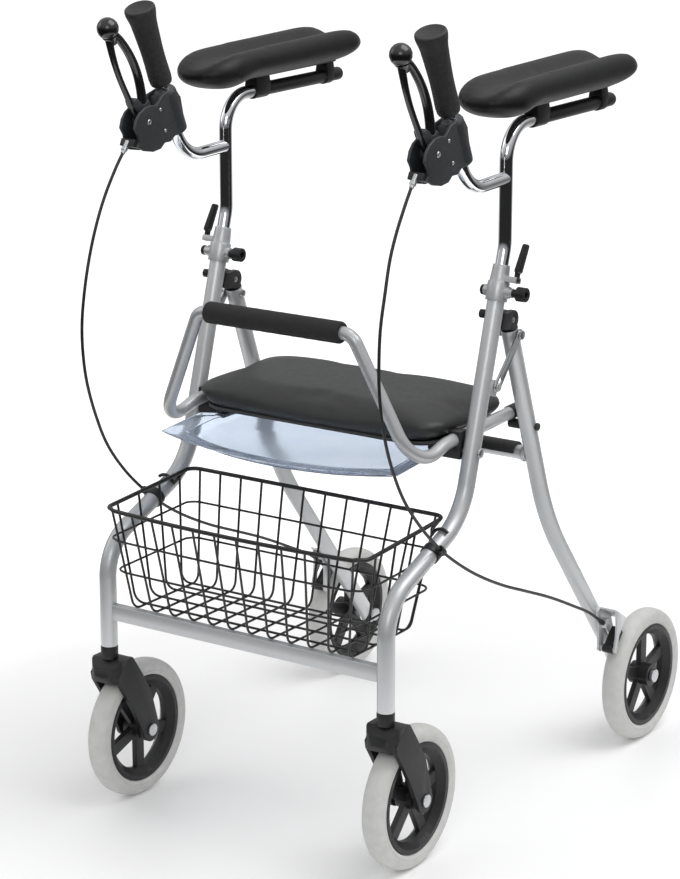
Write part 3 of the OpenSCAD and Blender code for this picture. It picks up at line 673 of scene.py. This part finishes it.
for side, k in SIDES:
    x = W * k
    # Grip: slim waist, swelling towards a flared top with a sloping cap
    prof = [(9.4, 0.5), (12.5, 0), (14.6, 1.2), (15.5, 4), (15.9, 9), (15.7, 20), (15.4, 32), (15.4, 45), (15.8, 58),
            (16.6, 72), (17.3, 84), (18.1, 93), (19.3, 101), (20.6, 106.5), (21.4, 111), (21.5, 114.6), (20.9, 117),
            (19.2, 118.2), (17.2, 117.6), (15, 116.4), (8, 115.2), (0.0, 115)]
    g = Form()
    g.lathe(prof, grip_at(1012) + Vector((x, 0, 0)), GRIP_AXIS, 72,
            ripple=lambda a, i: 1 + (0.012 * math.cos(2 * a) if i > 2 else 0))
    for i in range(26):  # fine ribs
        h = 10 + i * 3.2
        r = float(np.interp(h, [p[1] for p in prof[3:15]], [p[0] for p in prof[3:15]]))
        g.lathe([(r - 0.6, h - 0.7), (r + 0.28, h - 0.25), (r + 0.28, h + 0.25), (r - 0.6, h + 0.7)],
                grip_at(1012) + Vector((x, 0, 0)), GRIP_AXIS, 72, closed=True,
                ripple=lambda a, i: 1 + 0.012 * math.cos(2 * a))
    dress(g.object("grip_" + side, 40), "grip_rubber", "arm_" + side, "hand_grip_" + side)

    # Lever: thin front bar, stout rear bar, ball at the tip
    def yz(pts):
        return [(x, y, z) for y, z in pts]
    g = Form()
    front = spline(yz([(-268, 970), (-281, 988), (-294, 1008), (-308, 1032), (-319, 1056), (-327, 1080), (-331, 1097)]), 8)
    rear = spline(yz([(-258, 970), (-259, 990), (-262, 1010), (-270, 1034), (-284, 1058), (-304, 1080), (-326, 1096)]), 8)
    n = len(front)
    g.tube(front, [5.6 - 1.3 * math.sin(math.pi * min(1, 1.15 * i / n)) for i in range(n)], 20)
    g.tube(rear, [6.4 - 1.1 * (i / n) for i in range(n)], 20, flat=1.12)
    g.lathe([(0, -15), (4, -14.5), (8, -12.7), (11.6, -9.5), (14, -5.4), (15, 0), (14, 5.4), (11.6, 9.5), (8, 12.7),
             (4, 14.5), (0, 15)], (x, -330, 1099), (0, -0.35, 1), 40)
    g.lathe([(6.2, -24), (7.4, -19), (9.5, -14.5), (11, -11.5)], (x, -330, 1099), (0, -0.45, 1), 24)
    dress(g.object("lever_" + side, 50), "gloss_black", "brake_lever_" + side, "brake_lever_" + side)
    g = Form()
    g.lathe([(4.1, -8.6), (9.6, -8.6), (11, -7.2), (11, 7.2), (9.6, 8.6), (4.1, 8.6)], (x, -262, 966), (1, 0, 0), 40, closed=True)
    g.slab([(-273, 976), (-284, 990), (-287, 997), (-281, 1001), (-275, 997), (-268, 991), (-262, 990), (-256, 996),
            (-251, 992), (-252, 974), (-262, 976)], x - 8.2, x + 8.2)
    dress(g.object("lever_root_" + side, 40, 2.2, 3, 30), "housing_grey", "brake_lever_" + side)

    # Housing: two side plates with the body between them, clamped round the hand tube
    g = Form()
    plate = [(-290, 936), (-285, 941), (-287, 950), (-294, 960), (-290, 972), (-282, 981), (-270, 987), (-256, 989),
             (-246, 987), (-240, 991), (-232, 999), (-214, 1004), (-198, 1001), (-191, 992), (-184, 956), (-186, 948),
             (-194, 943), (-205, 939), (-214, 933), (-227, 933), (-236, 926), (-253, 924), (-274, 928)]
    for s0, s1 in ((-14.2, -9.6), (9.6, 14.2)):
        g.slab(plate, x + s0, x + s1)
    dress(g.object("brake_plates_" + side, 35, 1.6, 3, 30), "housing_grey", "arm_" + side, "brake_housing_" + side)
    g = Form()
    g.slab([(-297, 937), (-253, 926), (-227, 935), (-205, 941), (-190, 944), (-177, 952), (-187, 992), (-196, 999), (-214, 1001),
            (-230, 996), (-236, 978), (-238, 962), (-246, 944), (-262, 939), (-280, 942), (-292, 947)], x - 11.5, x + 11.5)
    dress(g.object("brake_body_" + side, 35, 1.5, 3, 30), "black_plastic", "arm_" + side)
    o = grip_at(972) + Vector((x, 0, 0))
    g = Form()
    g.lathe([(9.0, -31), (15.2, -31), (16.6, -29.6), (17, -26), (17, 28), (16.4, 32), (14.8, 34.5), (9.0, 34.5)], o, GRIP_AXIS, 48, closed=True)
    dress(g.object("brake_clamp_" + side, 40), "housing_grey", "arm_" + side)
    # Screws through the plates, pivot screw, cable adjuster
    g = Form()
    for y, z, r in ((-237, 980, 2.6), (-226.7, 950, 2.6), (-262, 966, 4.2)):
        for s in (-1, 1):
            g.lathe([(r, 13.6), (r, 14.6), (r - 0.6, 15.3), (r * 0.55, 15.4), (r * 0.5, 14.6), (0, 14.6)],
                    (x, y, z), (s, 0, 0), 20)
    dress(g.object("brake_screws_" + side, 35), "steel", "arm_" + side)
    d = Vector((0, -15, -19)).normalized()
    e = Vector((x, -304, 928))
    g = Form()
    g.lathe([(2.5, -0.3), (3.3, 0.2), (3.3, 4), (4.6, 4.6), (4.6, 9), (3.4, 10), (3.4, 19), (2.5, 19)], e, -d, 24, closed=True)
    dress(g.object("cable_adjuster_" + side, 35), "steel", "arm_" + side)

# ------------------------------------------------------------------ tray
def tray_outline(w, wr, ys, y0, d, yr, n=24):
    pts = [(wr, yr), (wr, ys), (w, ys - 10)]
    pts += [(w * (1 - 2 * i / n), y0 - d * (1 - (1 - 2 * i / n) ** 2)) for i in range(n + 1)]
    pts += [(-w, ys - 10), (-wr, ys), (-wr, yr)]
    return pts


def tray_ring(w, wr, ys, y0, d, yr, z):
    """The tray's outline at a height; towards the front edge the tray droops a little."""
    return [(x, y, z - 6.5 * min(1.0, max(0.0, (-195 - y) / 80)) ** 1.3) for x, y in tray_outline(w, wr, ys, y0, d, yr)]


g = Form()
g.rings([
    tray_ring(163, 163, -178, -240, 39, -62, 526.0),
    tray_ring(168, 168.5, -177, -248, 40, -57.5, 528.5),
    tray_ring(171, 169.5, -177, -254, 41, -56, 539.2),
    tray_ring(174, 171, -177, -258, 41, -54, 540.6),
    tray_ring(191, 176, -176.5, -271, 43.5, -52.4, 541.2),
    tray_ring(195, 176.3, -176, -274, 44, -52, 543.4),
    tray_ring(195.6, 176, -176.4, -274.4, 44, -52.6, 545.2),
    tray_ring(193.6, 175.4, -177, -272.8, 43.8, -53.2, 545.0),
    tray_ring(190, 174.8, -177.5, -269.6, 43.3, -53.8, 543.5),
    tray_ring(173, 170, -178, -257, 41, -56, 542.6),
    tray_ring(168.4, 167.4, -178, -251.5, 40.5, -58.5, 541.2),
    tray_ring(165.4, 166, -178.5, -245.5, 39.8, -60, 530.6),
    tray_ring(161.5, 161.5, -179, -238.5, 39, -64, 528.6),
])
tray = g.object("tray_bowl", 40)
dress(tray, "tray_plastic", "tray", "tray")

# ------------------------------------------------------------------ wire basket
def basket_x(t):
    return 213 - 21 * t


def front_y(x, t):
    return -383 - 12.5 * (1 - (x / 213) ** 2) * (1 - t) ** 1.5 + 17 * t


def rear_y(t):
    return -184 - 34 * t


def level(y, t):
    top = 450 + 11 * (y + 383) / 199
    return top + (306 - top) * t


def hoop(t, r, grow=0.0):
    """Points of a closed ring round the basket at depth t."""
    hx = basket_x(t) + grow
    pts = []
    for x in np.linspace(-hx + r, hx - r, 15):
        pts.append((x, front_y(x, t) - grow, level(-383, t)))
    fy, ry = front_y(hx, t) - grow, rear_y(t) + grow
    for j in range(1, 6):
        a = math.radians(90 * j / 6)
        pts.append((hx - r + r * math.sin(a), fy + r - r * math.cos(a), level(fy + r, t)))
    for y in np.linspace(fy + r, ry - r, 7):
        pts.append((hx, y, level(y, t)))
    for j in range(1, 6):
        a = math.radians(90 * j / 6)
        pts.append((hx - r + r * math.cos(a), ry - r + r * math.sin(a), level(ry, t)))
    for x in np.linspace(hx - r, -hx + r, 15):
        pts.append((x, ry, level(ry, t)))
    for j in range(1, 6):
        a = math.radians(90 * j / 6)
        pts.append((-hx + r - r * math.sin(a), ry - r + r * math.cos(a), level(ry, t)))
    for y in np.linspace(ry - r, fy + r, 7):
        pts.append((-hx, y, level(y, t)))
    for j in range(1, 6):
        a = math.radians(90 * j / 6)
        pts.append((-hx + r - r * math.cos(a), fy + r - r * math.sin(a), level(fy + r, t)))
    return pts


g = Form()
rim = hoop(0, 16)
g.tube(rim + rim[:1], 3.0, 14, False)
for t, grow in ((0.30, 3.0), (0.62, 3.0)):
    ring = hoop(t, 18, grow)
    g.tube(ring + ring[:1], 1.6, 10, False)
for i in range(12):
    xt = -198 + 36 * i
    xb = xt * 192 / 213
    g.tube(fillet([(xt, front_y(xt, 0), 450), (xb, -366, 306), (xb, -218, 306), (xt, rear_y(0), 461)], 16, 9), 1.7, 10)
for i in range(4):
    f = (i + 0.6) / 4.2
    yt = -383 + 199 * f
    yb = -366 + 148 * f
    g.tube(fillet([(-213, yt, level(yt, 0)), (-192, yb, 309.3), (192, yb, 309.3), (213, yt, level(yt, 0))], 16, 9), 1.7, 10)
for s in (-1, 1):  # hooks over the front legs
    arc = [(s * (231 - 15.8 * math.cos(math.radians(a))), -223, 439.6 + 17 * math.sin(math.radians(a)))
           for a in range(20, 131, 10)]
    g.tube(fillet([(s * 213, -199, 460), (s * 213, -218, 452), arc[0]], 4) + arc[1:], 2.4, 12)
basket = g.object("wire_basket", 60)
dress(basket, "basket_wire", "basket", "basket")

# ------------------------------------------------------------------ wheels
for side, k in SIDES:
    for kind, cx, cy in (("rear", 264.5 * k, 297.5), ("front", W * k, -297.5)):
        half = [(77.15, 11.5), (78.2, 13.8), (80.5, 15.3), (83.2, 15.95), (83.7, 15.5), (84.5, 15.5), (85.0, 16.0), (89, 16.0),
                (92.3, 15.4), (95.0, 14.0), (97.2, 11.7), (98.7, 8.6), (99.6, 4.6)]
        prof = half + [(100, 0)] + [(r, -h) for r, h in reversed(half)]
        g = Form()
        g.lathe(prof, (cx, cy, 100), (1, 0, 0), 120, closed=True)
        dress(g.object(f"{kind}_tyre_{side}_rubber", 30), "tyre", f"{kind}_wheel_{side}", f"{kind}_tyre_{side}")
        refine(f"{kind}_rim_{side}", "rim_plastic", 1.3, 3, 28)
    refine("caster_fork_" + side, "black_plastic", 2.9, 4, 40)
    refine("caster_pins_" + side, "steel", 0.8, 2, 40)
    refine("brake_arm_" + side, "black_plastic", 1.2)
    # Rail under the pad with two saddles round the arm tube
    x = W * k
    g = Form()
    g.slab([(-10, 995.6), (195, 996.6), (196, 1001), (-10, 1000)], x - 11, x + 11)
    for y0, y1 in ((-6, 27), (173, 191)):
        arc = [(11.6 * math.cos(math.radians(a)), 976 + 11.6 * math.sin(math.radians(a))) for a in range(205, 336, 10)]
        section = [(9.5, 997), (-9.5, 997)] + [(-11.6, 984)] + arc + [(11.6, 984)]
        g.rings([[(x + p, y, q) for p, q in section] for y in (y0, y1)])
    dress(g.object(f"pad_base_{side}_rail", 35, 1.2, 3, 30), "black_plastic", "arm_" + side, "pad_base_" + side)
    refine("clamp_lever_" + side, "black_plastic", 1.0, 3)
    refine("stay_" + side, "steel", 0.5)
for n in ("clamp_knobs", "hinge_knuckles", "cable_clips", "caster_sockets", "seat_pivot_blocks",
          "hoop_end_caps", "tray_runners", "hinge_plugs"):
    refine(n, "black_plastic", 2.2 if n == "hinge_knuckles" else 1.0, 3)
for n in ("seat_rest_pads", "rest_buffers"):
    refine(n, "grip_rubber", 1.0, 3)
for n in ("frame_bolts", "stay_bolts", "rear_axles"):
    refine(n, "steel", 0.7, 2, 40)
for n in ("clamp_collars", "brake_brackets", "front_crossbar", "stay_tabs"):
    refine(n, "frame_paint", 1.0, 3)

# ------------------------------------------------------------------ stage
for name, r0, r1, glow in (("floor_near", 0.0, 1.2, 0.06), ("floor_far", 1.2, 40.0, 0.45)):
    floor_mat = shader(name, (0.90, 0.90, 0.90), 0.45, 0.0, tint=(0.885, 0.885, 0.888), tint_scale=0.6, grain=0.02,
                       grain_scale=40, rough_var=0.04, rough_scale=2, Emission_Color=(1, 1, 1, 1), Emission_Strength=glow)
    circle = [(math.cos(math.pi * a / 64), math.sin(math.pi * a / 64)) for a in range(128)]
    mesh = bpy.data.meshes.new(name)
    if r0:
        mesh.from_pydata([(r * x, r * y, 0) for r in (r0, r1) for x, y in circle], [],
                         [(k, 128 + k, 128 + (k + 1) % 128, (k + 1) % 128) for k in range(128)])
    else:
        mesh.from_pydata([(r1 * x, r1 * y, 0) for x, y in circle], [], [tuple(range(128))])
    if not r0:  # the glow grows towards the rim, so that no seam shows
        tree = floor_mat.node_tree
        spot = tree.nodes.new("ShaderNodeTexCoord").outputs["Object"]
        reach = tree.nodes.new("ShaderNodeVectorMath")
        reach.operation = "LENGTH"
        tree.links.new(spot, reach.inputs[0])
        ease = tree.nodes.new("ShaderNodeMapRange")
        ease.interpolation_type = "SMOOTHSTEP"
        ease.inputs["From Min"].default_value, ease.inputs["From Max"].default_value = 0.62, 1.15
        ease.inputs["To Min"].default_value, ease.inputs["To Max"].default_value = glow, 0.45
        tree.links.new(reach.outputs["Value"], ease.inputs["Value"])
        tree.links.new(ease.outputs["Result"], tree.nodes["Principled BSDF"].inputs["Emission Strength"])
    floor = bpy.data.objects.new(name, mesh)
    scene.collection.objects.link(floor)
    floor.data.materials.append(floor_mat)
    # Only the lit floor round the walker throws light back on it
    floor.visible_diffuse = floor.visible_glossy = not r0

world = bpy.data.worlds.new("studio")
scene.world = world
world.use_nodes = True
wt = world.node_tree
wn, wl = wt.nodes, wt.links.new
direction = wn.new("ShaderNodeTexCoord").outputs["Generated"]
split = wn.new("ShaderNodeSeparateXYZ")
wl(direction, split.inputs["Vector"])
sky = wn.new("ShaderNodeValToRGB")
sky.color_ramp.elements[0].position = 0.02
sky.color_ramp.elements[0].color = (0.34, 0.34, 0.35, 1)
sky.color_ramp.elements[1].position = 0.62
sky.color_ramp.elements[1].color = (1, 1, 1, 1)
mid = sky.color_ramp.elements.new(0.28)
mid.color = (0.62, 0.62, 0.63, 1)
wl(split.outputs["Z"], sky.inputs["Fac"])
# Low down the studio is dark in front of the walker and bright behind it
facing = wn.new("ShaderNodeVectorMath")
facing.operation = "DOT_PRODUCT"
facing.inputs[1].default_value = (0.5585, -0.8295, 0)
wl(direction, facing.inputs[0])
low = wn.new("ShaderNodeMapRange")
low.inputs["From Min"].default_value, low.inputs["From Max"].default_value = -0.8, -0.3
low.inputs["To Min"].default_value, low.inputs["To Max"].default_value = 0.9, 0.03
wl(facing.outputs["Value"], low.inputs["Value"])
rise = wn.new("ShaderNodeMapRange")
rise.inputs["From Min"].default_value, rise.inputs["From Max"].default_value = -0.08, 0.06
wl(split.outputs["Z"], rise.inputs["Value"])
blend = wn.new("ShaderNodeMix")
blend.data_type = "RGBA"
wl(rise.outputs["Result"], blend.inputs["Factor"])
wl(low.outputs["Result"], blend.inputs[6])
wl(sky.outputs["Color"], blend.inputs[7])
wl(blend.outputs[2], wn["Background"].inputs["Color"])
wn["Background"].inputs["Strength"].default_value = 0.8


def area(name, loc, target, size, power, colour=(1, 1, 1)):
    data = bpy.data.lights.new(name, "AREA")
    data.shape = "RECTANGLE"
    data.size, data.size_y = size
    data.energy = power
    data.color = colour
    obj = bpy.data.objects.new(name, data)
    obj.location = loc
    obj.rotation_euler = (Vector(target) - Vector(loc)).to_track_quat("-Z", "Y").to_euler()
    scene.collection.objects.link(obj)
    return obj


area("key", (1.8, 0.6, 4.2), (0, -0.1, 0.4), (3.2, 3.2), 96)
area("fill", (2.4, -4.2, 2.6), (0, -0.1, 0.6), (2.2, 1.6), 36)
area("side", (-3.4, -1.6, 2.4), (0, -0.1, 0.5), (2.0, 2.0), 12)
